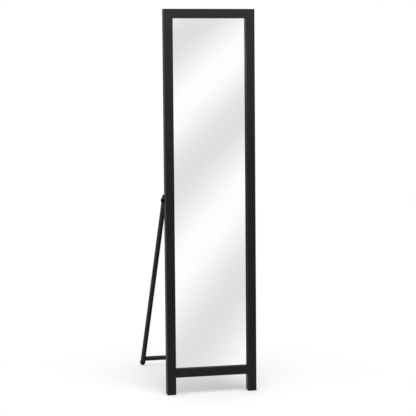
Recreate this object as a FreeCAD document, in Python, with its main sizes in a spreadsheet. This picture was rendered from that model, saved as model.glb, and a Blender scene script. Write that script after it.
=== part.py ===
import FreeCAD, Part
import math
import os
import Sketcher

# A tall mirror in a wooden frame that leans back on a folding tube stand.
#
# Frame pieces are drawn in the frame's own axes: X across, Y from the front face to the back,
# Z up along the stiles, with the origin on the floor under the middle of the front face.
# Stand pieces are drawn about the pivot axis, with Z along the legs.
# Both sets are then placed: the frame leans back, the stand is swung open behind it.

# Driving sizes, in millimetres and degrees
SIZES = {
    # Frame
    "frame_height": 1600,
    "frame_width": 384,
    "frame_depth": 34,
    "stile_width": 37.2,
    "top_rail_height": 38,
    "bottom_rail_height": 36,
    "foot_height": 73,
    "edge_radius": 1.5,
    "lean_angle": 3,
    # Mirror and back panel in their rabbet
    "lip_depth": 15,
    "rabbet_width": 8,
    "mirror_play": 1,
    "mirror_thickness": 4,
    "panel_thickness": 3,
    # Dowels between rails and stiles
    "dowel_diameter": 8,
    "dowel_length": 40,
    "dowel_inset": 10,
    "dowel_spacing": 13,
    "dowel_play": 0.05,
    "dowel_end_play": 1,
    # Rubber pads under the feet
    "pad_thickness": 2.5,
    "pad_inset": 2,
    "pad_corner": 3,
    # Offset clips behind the panel
    "clip_thickness": 1.2,
    "clip_width": 12,
    "clip_foot": 14,
    "clip_toe": 10,
    "clip_wall_gap": 0.5,
    "clip_bend": 1,
    "clip_end_distance": 120,
    # Wood screws for clips and brackets
    "screw_diameter": 3.5,
    "screw_length": 16,
    "screw_head_diameter": 7,
    "screw_head_rim": 0.8,
    "screw_head_height": 2.2,
    "screw_cross_length": 4,
    "screw_cross_width": 0.9,
    "screw_cross_depth": 1.3,
    "screw_play": 0.05,
    # Stand
    "stand_angle": 32.8,
    "pivot_height": 811,
    "leg_inset": 5,
    "tube_diameter": 21,
    "bar_diameter": 20,
    "tube_wall": 1.2,
    "leg_overrun": 23,
    "stop_gap": 0.3,
    "bar_height": 32,
    "weld_size": 2,
    # Plug in the top of each leg
    "plug_rim": 2,
    "plug_dome": 1.5,
    "plug_stem": 12,
    "plug_play": 0.1,
    # Rounded cap on the lower end of each leg
    "cap_wall": 1.2,
    "cap_skirt": 10,
    "cap_play": 0.1,
    # Hinge bracket
    "bracket_thickness": 2.5,
    "bracket_flange": 17,
    "bracket_rise": 4,
    "bracket_drop": 52,
    "bracket_bend": 2,
    "bracket_corner": 4,
    "bracket_ear_radius": 9,
    "bracket_screw_drop": 14,
    "bracket_screw_spacing": 26,
    # Pivot bolt, lock nut and saddle washers
    "bolt_diameter": 6,
    "bolt_head_diameter": 12,
    "bolt_head_rim": 1,
    "bolt_head_height": 3.2,
    "bolt_socket_flats": 4,
    "bolt_socket_depth": 2,
    "bolt_end": 1.5,
    "pivot_play": 0.05,
    "nut_flats": 10,
    "nut_height": 4.5,
    "nut_collar_diameter": 9,
    "nut_collar_height": 1.5,
    "nut_collar_wall": 0.6,
    "saddle_length": 13.5,
    "saddle_height": 9.5,
    "saddle_wall": 1,
    "saddle_corner": 5.5,
    "saddle_soft_edge": 0.8,
    "saddle_lift": 1,
    "saddle_play": 0.05,
}

# Sizes worked out from the driving ones
WORKED = {
    "half_width": "Sizes.frame_width / 2",
    "sight_half": "Sizes.frame_width / 2 - Sizes.stile_width",
    "sight_low": "Sizes.foot_height + Sizes.bottom_rail_height",
    "sight_high": "Sizes.frame_height - Sizes.top_rail_height",
    "rabbet_depth": "Sizes.frame_depth - Sizes.lip_depth",
    "rabbet_half": "sight_half + Sizes.rabbet_width",
    "rabbet_low": "sight_low - Sizes.rabbet_width",
    "rabbet_high": "sight_high + Sizes.rabbet_width",
    "panel_front": "Sizes.lip_depth + Sizes.mirror_thickness",
    "clip_drop": "Sizes.frame_depth - panel_front - Sizes.panel_thickness",
    "foot_front": "Sizes.pad_thickness / cos(Sizes.lean_angle)",
    "foot_back": "(Sizes.pad_thickness + Sizes.frame_depth * sin(Sizes.lean_angle)) / cos(Sizes.lean_angle)",
    "pad_front": "Sizes.pad_thickness * tan(Sizes.lean_angle) + Sizes.pad_inset",
    "pad_back": "Sizes.frame_depth / cos(Sizes.lean_angle)"
                " + Sizes.pad_thickness * tan(Sizes.lean_angle) - Sizes.pad_inset",
    "dowel_radius": "Sizes.dowel_diameter / 2",
    "dowel_depth": "Sizes.frame_depth / 2",
    "screw_radius": "Sizes.screw_diameter / 2",
    "tube_radius": "Sizes.tube_diameter / 2",
    "bar_radius": "Sizes.bar_diameter / 2",
    "tube_bore": "tube_radius - Sizes.tube_wall",
    "cap_bore": "tube_radius + Sizes.cap_play",
    "cap_radius": "cap_bore + Sizes.cap_wall",
    "bolt_radius": "Sizes.bolt_diameter / 2",
    "pivot_bore": "bolt_radius + Sizes.pivot_play",
    "saddle_face": "tube_radius + Sizes.saddle_lift",
    "saddle_half": "tube_radius + Sizes.saddle_wall",
    "nut_bore": "Sizes.nut_collar_diameter / 2 - Sizes.nut_collar_wall",
    "leg_offset": "half_width - Sizes.leg_inset",
    "ear_outer": "leg_offset - saddle_face",
    "ear_inner": "ear_outer - Sizes.bracket_thickness",
    "bracket_screw_place": "(ear_outer + ear_inner + Sizes.bracket_flange) / 2",
    "bolt_length": "2 * saddle_face + Sizes.bracket_thickness + Sizes.nut_height"
                   " + Sizes.nut_collar_height + Sizes.bolt_end",
    # The plug's rim meets the back of the stile when the stand is open
    "pivot_depth": "Sizes.frame_depth + Sizes.leg_overrun * sin(Sizes.stand_angle)"
                   " + tube_radius * cos(Sizes.stand_angle) + Sizes.stop_gap",
    "leg_top": "Sizes.leg_overrun - Sizes.plug_rim",
    "leg_tilt": "Sizes.stand_angle - Sizes.lean_angle",
    "pivot_back": "pivot_depth * cos(Sizes.lean_angle) + Sizes.pivot_height * sin(Sizes.lean_angle)",
    "pivot_up": "Sizes.pivot_height * cos(Sizes.lean_angle) - pivot_depth * sin(Sizes.lean_angle)",
    # Distances down the leg to the middle of the cap's dome and to the crossbar
    "leg_reach": "(pivot_up - cap_radius) / cos(leg_tilt)",
    "bar_reach": "(pivot_up - Sizes.bar_height) / cos(leg_tilt)",
    "stand_back": "pivot_back + leg_reach * sin(leg_tilt) + cap_radius",
    "centre_shift": "-(stand_back + Sizes.pad_thickness * tan(Sizes.lean_angle)) / 2",
}

CLIPS_PER_STILE = 4
TOUCH = 1e-3
LEFT = -1
RIGHT = 1
SIDE_NAMES = {LEFT: "left", RIGHT: "right"}
X_AXIS = FreeCAD.Vector(1, 0, 0)
Y_AXIS = FreeCAD.Vector(0, 1, 0)
Z_AXIS = FreeCAD.Vector(0, 0, 1)

doc = FreeCAD.newDocument("StandingMirror")
nodes = []


# Sheets

def fill_sheets():
    """Write the driving sizes as plain numbers and the worked sizes as formulas."""
    sizes = doc.addObject("Spreadsheet::Sheet", "Sizes")
    for row, (alias, value) in enumerate(SIZES.items(), start=1):
        sizes.set(f"A{row}", alias)
        sizes.set(f"B{row}", str(value))
        sizes.setAlias(f"B{row}", alias)
    worked = doc.addObject("Spreadsheet::Sheet", "Worked")
    for row, (alias, formula) in enumerate(WORKED.items(), start=1):
        worked.set(f"A{row}", alias)
        worked.setAlias(f"B{row}", alias)
        worked.set(f"B{row}", f"={formula}")
    doc.recompute()


# Sketch helpers

def new_sketch(body, name, role, offset=None):
    """Attach a sketch to one of the body's own origin planes, moved along the plane's normal."""
    plane = next(item for item in body.Origin.OriginFeatures if item.Role == role)
    sketch = body.newObject("Sketcher::SketchObject", name)
    sketch.AttachmentSupport = [(plane, "")]
    sketch.MapMode = "FlatFace"
    if offset is not None:
        sketch.setExpression("AttachmentOffset.Base.z", offset)
    return sketch


def drive(sketch, kind, geometry, vertex, expression):
    """Hold one coordinate of a sketch point at an expression, or on the axis where it is zero."""
    if expression == "0":
        axis = -2 if kind == "DistanceX" else -1
        sketch.addConstraint(Sketcher.Constraint("PointOnObject", geometry, vertex, axis))
        return
    value = sketch.evalExpression(expression)
    number = sketch.addConstraint(Sketcher.Constraint(kind, -1, 1, geometry, vertex, value))
    sketch.setExpression(f"Constraints[{number}]", expression)


def circle(sketch, across, up, radius):
    """Draw a circle from expressions for its centre and radius."""
    centre = FreeCAD.Vector(sketch.evalExpression(across), sketch.evalExpression(up), 0)
    size = sketch.evalExpression(radius)
    geometry = sketch.addGeometry(Part.Circle(centre, Z_AXIS, size))
    drive(sketch, "DistanceX", geometry, 3, across)
    drive(sketch, "DistanceY", geometry, 3, up)
    number = sketch.addConstraint(Sketcher.Constraint("Radius", geometry, size))
    sketch.setExpression(f"Constraints[{number}]", radius)


def dome_arc(start, end):
    """Give the short arc between two points whose centre is on the upright axis, and its direction."""
    rise = end.y - start.y
    height = (end.y ** 2 + end.x ** 2 - start.y ** 2 - start.x ** 2) / (2 * rise)
    centre = FreeCAD.Vector(0, height, 0)
    from_start = math.atan2(start.y - height, start.x)
    from_end = math.atan2(end.y - height, end.x)
    forward = from_end > from_start
    low, high = min(from_start, from_end), max(from_start, from_end)
    rim = Part.Circle(centre, Z_AXIS, (start - centre).Length)
    return Part.ArcOfCircle(rim, low, high), forward


def outline(sketch, points, domes=()):
    """Draw a closed outline through points given as pairs of expressions.

    An edge whose number is in domes is an arc centred on the upright axis.
    """
    spots = [FreeCAD.Vector(sketch.evalExpression(x), sketch.evalExpression(y), 0) for x, y in points]
    ends = []
    for number, spot in enumerate(spots):
        following = spots[(number + 1) % len(spots)]
        if number in domes:
            arc, forward = dome_arc(spot, following)
            geometry = sketch.addGeometry(arc)
            ends.append((geometry, 1, 2) if forward else (geometry, 2, 1))
            sketch.addConstraint(Sketcher.Constraint("PointOnObject", geometry, 3, -2))
        else:
            geometry = sketch.addGeometry(Part.LineSegment(spot, following))
            ends.append((geometry, 1, 2))
    for number, (geometry, start, end) in enumerate(ends):
        after, after_start, after_end = ends[(number + 1) % len(ends)]
        sketch.addConstraint(Sketcher.Constraint("Coincident", geometry, end, after, after_start))
    for (geometry, start, end), (x, y) in zip(ends, points):
        drive(sketch, "DistanceX", geometry, start, x)
        drive(sketch, "DistanceY", geometry, start, y)


def rectangle(sketch, left, right, low, high):
    """Draw a rectangle between four expressions."""
    outline(sketch, [(left, low), (right, low), (right, high), (left, high)])


def hexagon(sketch, width):
    """Draw a hexagon about the origin from an expression for its width across the flats."""
    flat = f"{width} / 2"
    corner = f"{width} / 2 * tan(30)"
    point = f"{width} / 2 / cos(30)"
    outline(sketch, [
        ("0", point), (f"-{flat}", corner), (f"-{flat}", f"-{corner}"),
        ("0", f"-({point})"), (flat, f"-{corner}"), (flat, corner),
    ])


def cross(sketch, length, width):
    """Draw a cross of two equal bars about the origin."""
    end = f"{length} / 2"
    side = f"{width} / 2"
    outline(sketch, [
        (side, end), (f"-{side}", end), (f"-{side}", side), (f"-{end}", side),
        (f"-{end}", f"-{side}"), (f"-{side}", f"-{side}"), (f"-{side}", f"-{end}"), (side, f"-{end}"),
        (side, f"-{side}"), (end, f"-{side}"), (end, side), (side, side),
    ])


# Feature helpers

def new_body(name):
    """Start a body that carries the node's name."""
    body = doc.addObject("PartDesign::Body", name)
    body.Label = name
    return body


def pad(body, name, sketch, length, reverse=False, symmetric=False):
    """Add material along the sketch's normal."""
    feature = body.newObject("PartDesign::Pad", name)
    feature.Profile = sketch
    feature.setExpression("Length", length)
    feature.Reversed = reverse
    feature.SideType = "Symmetric" if symmetric else "One side"
    doc.recompute()
    return feature


def pocket(body, name, sketch, length, reverse=False, symmetric=False):
    """Cut against the sketch's normal and make sure that something was cut."""
    before = body.Shape.Volume
    feature = body.newObject("PartDesign::Pocket", name)
    feature.Profile = sketch
    feature.setExpression("Length", length)
    feature.Reversed = reverse
    feature.SideType = "Symmetric" if symmetric else "One side"
    doc.recompute()
    if not body.Shape.Volume < before:
        raise RuntimeError(f"{name} in {body.Label} cuts nothing")
    return feature


def revolve(body, name, sketch):
    """Turn a profile drawn beside the upright axis into a solid."""
    feature = body.newObject("PartDesign::Revolution", name)
    feature.Profile = sketch
    feature.ReferenceAxis = (sketch, ["V_Axis"])
    feature.Angle = 360
    doc.recompute()
    return feature


def straight_edges(shape, axis, wanted=None):
    """Name the straight edges along an axis, all of them or those whose middle is wanted."""
    names = []
    for number, edge in enumerate(shape.Edges, start=1):
        if edge.Curve.TypeId != "Part::GeomLine":
            continue
        if edge.tangentAt(edge.FirstParameter).cross(axis).Length > TOUCH:
            continue
        if wanted is None or wanted(edge.CenterOfMass):
            names.append(f"Edge{number}")
    return names


def fillet(body, name, radius, edges):
    """Round the named edges of the body's last feature, or all of them."""
    base = body.Tip
    feature = body.newObject("PartDesign::Fillet", name)
    feature.Base = (base, edges)
    feature.UseAllEdges = not edges
    feature.setExpression("Radius", radius)
    doc.recompute()
    return feature


def mirror_across(body, name, original):
    """Repeat a feature on the other side of the middle plane."""
    plane = next(item for item in body.Origin.OriginFeatures if item.Role == "YZ_Plane")
    feature = body.newObject("PartDesign::Mirrored", name)
    feature.Originals = [original]
    feature.MirrorPlane = (plane, [""])
    body.Tip = feature
    doc.recompute()
    return feature


# Placing helpers

def value_of(expression):
    """Read an expression of the sheets as a number."""
    return doc.getObject("Worked").evalExpression(expression)


def place(node, turn_axis, angle, across="0", back="0", up="0"):
    """Turn a node about one axis, move it, and keep it as a piece of the object."""
    node.Placement = FreeCAD.Placement(FreeCAD.Vector(), FreeCAD.Rotation(turn_axis, value_of(angle)))
    node.setExpression("Placement.Rotation.Angle", angle)
    node.setExpression("Placement.Base.x", across)
    node.setExpression("Placement.Base.y", back)
    node.setExpression("Placement.Base.z", up)
    nodes.append(node)


def place_on_frame(node):
    """Lean a piece of the frame back."""
    place(node, -X_AXIS, "Sizes.lean_angle", back="Worked.centre_shift")


def place_on_stand(node, across="0"):
    """Swing a piece of the stand out behind the frame."""
    place(node, X_AXIS, "Worked.leg_tilt", across,
          "Worked.pivot_back + Worked.centre_shift", "Worked.pivot_up")


def group(name, unit, spots):
    """Gather placed copies of one piece in one node.

    Each spot is a place as three expressions, a turning axis and an angle in degrees.
    """
    copies = []
    for number, (across, back, up, axis, angle) in enumerate(spots, start=1):
        copy = doc.addObject("App::Link", f"{name}_{number}")
        copy.LinkedObject = unit
        copy.Placement = FreeCAD.Placement(FreeCAD.Vector(), FreeCAD.Rotation(axis, angle))
        copy.setExpression("Placement.Base.x", across)
        copy.setExpression("Placement.Base.y", back)
        copy.setExpression("Placement.Base.z", up)
        copies.append(copy)
    node = doc.addObject("Part::Compound", name)
    node.Label = name
    node.Links = copies
    doc.recompute()
    return node


# Places that several pieces share, as expressions in the frame's axes

def dowel_heights():
    """Heights of the dowels in the bottom rail and then in the top rail."""
    bottom = [f"Sizes.foot_height + Sizes.dowel_inset + {step} * Sizes.dowel_spacing" for step in range(2)]
    top = [f"Sizes.frame_height - Sizes.dowel_inset - {step} * Sizes.dowel_spacing" for step in range(2)]
    return bottom, top


def clip_heights():
    """Heights of the clips along a stile, evenly spread between the two ends."""
    first = "Worked.sight_low + Sizes.clip_end_distance"
    span = "(Worked.sight_high - Worked.sight_low - 2 * Sizes.clip_end_distance)"
    return [f"{first} + {span} * {step} / {CLIPS_PER_STILE - 1}" for step in range(CLIPS_PER_STILE)]


def bracket_screw_heights():
    """Heights of the two screws in a bracket."""
    first = "Sizes.pivot_height - Sizes.bracket_screw_drop"
    return [first, f"{first} - Sizes.bracket_screw_spacing"]


# Frame pieces

def make_stile(side):
    """Full-height post: slanted foot, stopped rabbet, dowel holes and screw holes."""
    body = new_body(f"stile_{SIDE_NAMES[side]}")
    inner = f"{side} * Worked.sight_half"
    start = "-Worked.half_width" if side == LEFT else "Worked.sight_half"
    profile = new_sketch(body, "SideView", "YZ_Plane", start)
    outline(profile, [
        ("0", "Worked.foot_front"),
        ("Sizes.frame_depth", "Worked.foot_back"),
        ("Sizes.frame_depth", "Sizes.frame_height"),
        ("0", "Sizes.frame_height"),
    ])
    pad(body, "Post", profile, "Sizes.stile_width")
    fillet(body, "SoftEdges", "Sizes.edge_radius", [])
    rabbet = new_sketch(body, "RabbetOutline", "XZ_Plane", "-Sizes.frame_depth")
    rectangle(rabbet, inner, f"{side} * Worked.rabbet_half", "Worked.rabbet_low", "Worked.rabbet_high")
    pocket(body, "Rabbet", rabbet, "Worked.rabbet_depth", reverse=True)
    dowels = new_sketch(body, "DowelPlaces", "YZ_Plane", inner)
    bottom, top = dowel_heights()
    for height in bottom + top:
        circle(dowels, "Worked.dowel_depth", height, "Worked.dowel_radius + Sizes.dowel_play")
    pocket(body, "DowelHoles", dowels, "Sizes.dowel_length / 2 + Sizes.dowel_end_play", reverse=side == RIGHT)
    clips = new_sketch(body, "ClipScrewPlaces", "XZ_Plane", "-Sizes.frame_depth")
    for height in clip_heights():
        circle(clips, f"{side} * (Worked.rabbet_half + Sizes.clip_foot / 2)", height,
               "Worked.screw_radius + Sizes.screw_play")
    pocket(body, "ClipScrewHoles", clips, "Sizes.screw_length - Sizes.clip_thickness", reverse=True)
    screws = new_sketch(body, "BracketScrewPlaces", "XZ_Plane", "-Sizes.frame_depth")
    for height in bracket_screw_heights():
        circle(screws, f"{side} * Worked.bracket_screw_place", height,
               "Worked.screw_radius + Sizes.screw_play")
    pocket(body, "BracketScrewHoles", screws, "Sizes.screw_length - Sizes.bracket_thickness", reverse=True)
    place_on_frame(body)


def make_rail(name, low, high, sight, rabbet_end, dowel_rows, clip_row):
    """Crosspiece between the stiles, with its rabbet and its dowel and screw holes."""
    body = new_body(name)
    profile = new_sketch(body, "EndView", "YZ_Plane")
    rectangle(profile, "0", "Sizes.frame_depth", low, high)
    pad(body, "Bar", profile, "2 * Worked.sight_half", symmetric=True)
    fillet(body, "SoftEdges", "Sizes.edge_radius", straight_edges(body.Shape, X_AXIS))
    rabbet = new_sketch(body, "RabbetOutline", "XZ_Plane", "-Sizes.frame_depth")
    rectangle(rabbet, "-Worked.sight_half", "Worked.sight_half", sight, rabbet_end)
    pocket(body, "Rabbet", rabbet, "Worked.rabbet_depth", reverse=True)
    screw = new_sketch(body, "ClipScrewPlace", "XZ_Plane", "-Sizes.frame_depth")
    circle(screw, "0", clip_row, "Worked.screw_radius + Sizes.screw_play")
    pocket(body, "ClipScrewHole", screw, "Sizes.screw_length - Sizes.clip_thickness", reverse=True)
    dowels = new_sketch(body, "DowelPlaces", "YZ_Plane", "Worked.sight_half")
    for height in dowel_rows:
        circle(dowels, "Worked.dowel_depth", height, "Worked.dowel_radius + Sizes.dowel_play")
    holes = pocket(body, "DowelHoles", dowels, "Sizes.dowel_length / 2 + Sizes.dowel_end_play")
    mirror_across(body, "OtherDowelHoles", holes)
    place_on_frame(body)


def make_rails():
    """Top and bottom rail."""
    bottom, top = dowel_heights()
    make_rail("bottom_rail", "Sizes.foot_height", "Worked.sight_low", "Worked.sight_low",
              "Worked.rabbet_low", bottom, "Worked.rabbet_low - Sizes.clip_foot / 2")
    make_rail("top_rail", "Worked.sight_high", "Sizes.frame_height", "Worked.sight_high",
              "Worked.rabbet_high", top, "Worked.rabbet_high + Sizes.clip_foot / 2")


def make_dowels():
    """Wooden dowels, half in a rail and half in a stile."""
    unit = doc.addObject("Part::Cylinder", "dowel")
    unit.setExpression("Radius", "Worked.dowel_radius")
    unit.setExpression("Height", "Sizes.dowel_length")
    bottom, top = dowel_heights()
    start = "Worked.sight_half - Sizes.dowel_length / 2"
    spots = []
    for height in bottom + top:
        spots.append((start, "Worked.dowel_depth", height, Y_AXIS, 90))
        spots.append((f"-({start})", "Worked.dowel_depth", height, Y_AXIS, -90))
    place_on_frame(group("rail_dowels", unit, spots))


def make_sheet(name, front, thickness):
    """Flat sheet that lies in the rabbet with a little play all round."""
    body = new_body(name)
    sketch = new_sketch(body, "Outline", "XZ_Plane", f"-({front})")
    half = "Worked.rabbet_half - Sizes.mirror_play"
    rectangle(sketch, f"-({half})", half, "Worked.rabbet_low + Sizes.mirror_play",
              "Worked.rabbet_high - Sizes.mirror_play")
    pad(body, "Sheet", sketch, thickness, reverse=True)
    place_on_frame(body)


def make_foot_pad(side):
    """Rubber pad between a foot and the floor."""
    body = new_body(f"foot_pad_{SIDE_NAMES[side]}")
    sketch = new_sketch(body, "Outline", "XY_Plane")
    rectangle(sketch, f"{side} * (Worked.sight_half + Sizes.pad_inset)",
              f"{side} * (Worked.half_width - Sizes.pad_inset)", "Worked.pad_front", "Worked.pad_back")
    pad(body, "Pad", sketch, "Sizes.pad_thickness")
    fillet(body, "RoundCorners", "Sizes.pad_corner", straight_edges(body.Shape, Z_AXIS))
    place(body, X_AXIS, "0", back="Worked.centre_shift")


# Screws and clips

def make_lathe_unit(name, points, domes):
    """Turned piece that other nodes repeat."""
    body = new_body(name)
    sketch = new_sketch(body, "Profile", "XZ_Plane")
    outline(sketch, points, domes)
    revolve(body, "Turned", sketch)
    return body


def make_screw_unit():
    """Pan-head wood screw with a cross recess, head up, with the underside of its head at the origin."""
    body = make_lathe_unit("wood_screw", [
        ("0", "-Sizes.screw_length"),
        ("Worked.screw_radius", "Sizes.screw_diameter - Sizes.screw_length"),
        ("Worked.screw_radius", "0"),
        ("Sizes.screw_head_diameter / 2", "0"),
        ("Sizes.screw_head_diameter / 2", "Sizes.screw_head_rim"),
        ("0", "Sizes.screw_head_height"),
    ], domes=[4])
    recess = new_sketch(body, "CrossOutline", "XY_Plane", "Sizes.screw_head_height")
    cross(recess, "Sizes.screw_cross_length", "Sizes.screw_cross_width")
    pocket(body, "CrossRecess", recess, "Sizes.screw_cross_depth")
    return body


def make_clip_unit():
    """Offset clip: a foot on the back of the frame, a step down the rabbet and a toe on the panel.

    Its origin is on the back of the frame at the rabbet's wall, and X points inwards.
    """
    body = new_body("panel_clip")
    sketch = new_sketch(body, "StepProfile", "XY_Plane")
    gap = "Sizes.clip_wall_gap"
    metal = "Sizes.clip_thickness"
    outline(sketch, [
        ("-Sizes.clip_foot", "0"),
        (gap, "0"),
        (gap, "-Worked.clip_drop"),
        (f"{gap} + Sizes.clip_toe", "-Worked.clip_drop"),
        (f"{gap} + Sizes.clip_toe", f"{metal} - Worked.clip_drop"),
        (f"{gap} + {metal}", f"{metal} - Worked.clip_drop"),
        (f"{gap} + {metal}", metal),
        ("-Sizes.clip_foot", metal),
    ])
    pad(body, "Strip", sketch, "Sizes.clip_width", symmetric=True)
    low_bend = FreeCAD.Vector(value_of(gap), -value_of("Worked.clip_drop"), 0)
    high_bend = FreeCAD.Vector(value_of(f"{gap} + {metal}"), value_of(metal), 0)
    bends = straight_edges(
        body.Shape, Z_AXIS,
        lambda middle: min((middle - low_bend).Length, (middle - high_bend).Length) < TOUCH)
    fillet(body, "Bends", "Sizes.clip_bend", bends)
    hole = new_sketch(body, "HolePlace", "XZ_Plane")
    circle(hole, "-Sizes.clip_foot / 2", "0", "Worked.screw_radius + Sizes.screw_play")
    pocket(body, "Hole", hole, "4 * Sizes.clip_thickness", symmetric=True)
    return body


def make_clips(screw):
    """Clips round the rabbet, and one screw in the foot of each."""
    clip = make_clip_unit()
    depth = "Sizes.frame_depth"
    wall = "Worked.rabbet_half"
    clip_spots = []
    screw_spots = []
    screw_depth = "Sizes.frame_depth + Sizes.clip_thickness"
    screw_side = "Worked.rabbet_half + Sizes.clip_foot / 2"
    for height in clip_heights():
        clip_spots.append((f"-{wall}", depth, height, Y_AXIS, 0))
        clip_spots.append((wall, depth, height, Y_AXIS, 180))
        screw_spots.append((f"-({screw_side})", screw_depth, height, X_AXIS, -90))
        screw_spots.append((screw_side, screw_depth, height, X_AXIS, -90))
    clip_spots.append(("0", depth, "Worked.rabbet_low", Y_AXIS, -90))
    clip_spots.append(("0", depth, "Worked.rabbet_high", Y_AXIS, 90))
    screw_spots.append(("0", screw_depth, "Worked.rabbet_low - Sizes.clip_foot / 2", X_AXIS, -90))
    screw_spots.append(("0", screw_depth, "Worked.rabbet_high + Sizes.clip_foot / 2", X_AXIS, -90))
    place_on_frame(group("panel_clips", clip, clip_spots))
    place_on_frame(group("clip_screws", screw, screw_spots))


# Pivots

def ear_outline(sketch):
    """Draw the bracket's ear: a round end about the pivot, tangent to lines from a long root."""
    root = "Sizes.frame_depth"
    top = "Sizes.pivot_height + Sizes.bracket_rise"
    bottom = "Sizes.pivot_height - Sizes.bracket_drop"
    centre = FreeCAD.Vector(value_of("Worked.pivot_depth"), value_of("Sizes.pivot_height"), 0)
    radius = value_of("Sizes.bracket_ear_radius")
    upper = FreeCAD.Vector(value_of(root), value_of(top), 0)
    lower = FreeCAD.Vector(value_of(root), value_of(bottom), 0)

    def tangent_angle(point, turn):
        away = point - centre
        return math.atan2(away.y, away.x) + turn * math.acos(radius / away.Length)

    start = tangent_angle(lower, 1) % (2 * math.pi) - 2 * math.pi
    end = tangent_angle(upper, -1) % (2 * math.pi)
    rim = Part.Circle(centre, Z_AXIS, radius)
    touch_low = centre + FreeCAD.Vector(math.cos(start), math.sin(start), 0) * radius
    touch_high = centre + FreeCAD.Vector(math.cos(end), math.sin(end), 0) * radius
    low_line = sketch.addGeometry(Part.LineSegment(lower, touch_low))
    round_end = sketch.addGeometry(Part.ArcOfCircle(rim, start, end))
    high_line = sketch.addGeometry(Part.LineSegment(touch_high, upper))
    root_line = sketch.addGeometry(Part.LineSegment(upper, lower))
    sketch.addConstraint(Sketcher.Constraint("Tangent", low_line, 2, round_end, 1))
    sketch.addConstraint(Sketcher.Constraint("Tangent", round_end, 2, high_line, 1))
    sketch.addConstraint(Sketcher.Constraint("Coincident", high_line, 2, root_line, 1))
    sketch.addConstraint(Sketcher.Constraint("Coincident", root_line, 2, low_line, 1))
    drive(sketch, "DistanceX", low_line, 1, root)
    drive(sketch, "DistanceY", low_line, 1, bottom)
    drive(sketch, "DistanceX", high_line, 2, root)
    drive(sketch, "DistanceY", high_line, 2, top)
    drive(sketch, "DistanceX", round_end, 3, "Worked.pivot_depth")
    drive(sketch, "DistanceY", round_end, 3, "Sizes.pivot_height")
    number = sketch.addConstraint(Sketcher.Constraint("Radius", round_end, radius))
    sketch.setExpression(f"Constraints[{number}]", "Sizes.bracket_ear_radius")


def make_bracket(side):
    """Bent steel angle: a flange on the back of the stile and an ear beside the leg."""
    body = new_body(f"hinge_bracket_{SIDE_NAMES[side]}")
    flange = new_sketch(body, "FlangeOutline", "XZ_Plane", "-Sizes.frame_depth")
    rectangle(flange, f"{side} * Worked.ear_inner", f"{side} * (Worked.ear_inner + Sizes.bracket_flange)",
              "Sizes.pivot_height - Sizes.bracket_drop", "Sizes.pivot_height + Sizes.bracket_rise")
    for height in bracket_screw_heights():
        circle(flange, f"{side} * Worked.bracket_screw_place", height,
               "Worked.screw_radius + Sizes.screw_play")
    pad(body, "Flange", flange, "Sizes.bracket_thickness", reverse=True)
    start = "-Worked.ear_outer" if side == LEFT else "Worked.ear_inner"
    ear = new_sketch(body, "EarOutline", "YZ_Plane", start)
    ear_outline(ear)
    circle(ear, "Worked.pivot_depth", "Sizes.pivot_height", "Worked.pivot_bore")
    pad(body, "Ear", ear, "Sizes.bracket_thickness")
    back = value_of("Sizes.frame_depth")
    metal = value_of("Sizes.bracket_thickness")
    inner = value_of("Worked.ear_inner")
    outer = value_of("Worked.ear_outer")

    def on_bend(middle):
        outside = abs(abs(middle.x) - inner) + abs(middle.y - back)
        inside = abs(abs(middle.x) - outer) + abs(middle.y - back - metal)
        return min(outside, inside) < TOUCH

    fillet(body, "Bend", "Sizes.bracket_bend", straight_edges(body.Shape, Z_AXIS, on_bend))
    free_edge = value_of("Worked.ear_inner + Sizes.bracket_flange")
    fillet(body, "RoundCorners", "Sizes.bracket_corner",
           straight_edges(body.Shape, Y_AXIS, lambda middle: abs(abs(middle.x) - free_edge) < TOUCH))
    place_on_frame(body)


def make_bracket_screws(screw):
    """Two screws through each flange."""
    spots = []
    for height in bracket_screw_heights():
        for side in SIDE_NAMES:
            spots.append((f"{side} * Worked.bracket_screw_place",
                          "Sizes.frame_depth + Sizes.bracket_thickness", height, X_AXIS, -90))
    place_on_frame(group("bracket_screws", screw, spots))


def make_bolts():
    """Domed bolts with a hexagon socket, through saddle, leg, saddle and ear."""
    unit = make_lathe_unit("domed_bolt", [
        ("0", "-Worked.bolt_length"),
        ("Worked.bolt_radius", "-Worked.bolt_length"),
        ("Worked.bolt_radius", "0"),
        ("Sizes.bolt_head_diameter / 2", "0"),
        ("Sizes.bolt_head_diameter / 2", "Sizes.bolt_head_rim"),
        ("0", "Sizes.bolt_head_height"),
    ], domes=[4])
    socket = new_sketch(unit, "SocketOutline", "XY_Plane", "Sizes.bolt_head_height")
    hexagon(socket, "Sizes.bolt_socket_flats")
    pocket(unit, "Socket", socket, "Sizes.bolt_socket_depth")
    head = "(Worked.leg_offset + Worked.saddle_face)"
    spots = [(f"{side} * {head}", "Worked.pivot_depth", "Sizes.pivot_height", Y_AXIS, side * 90)
             for side in SIDE_NAMES]
    place_on_frame(group("pivot_bolts", unit, spots))


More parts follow.
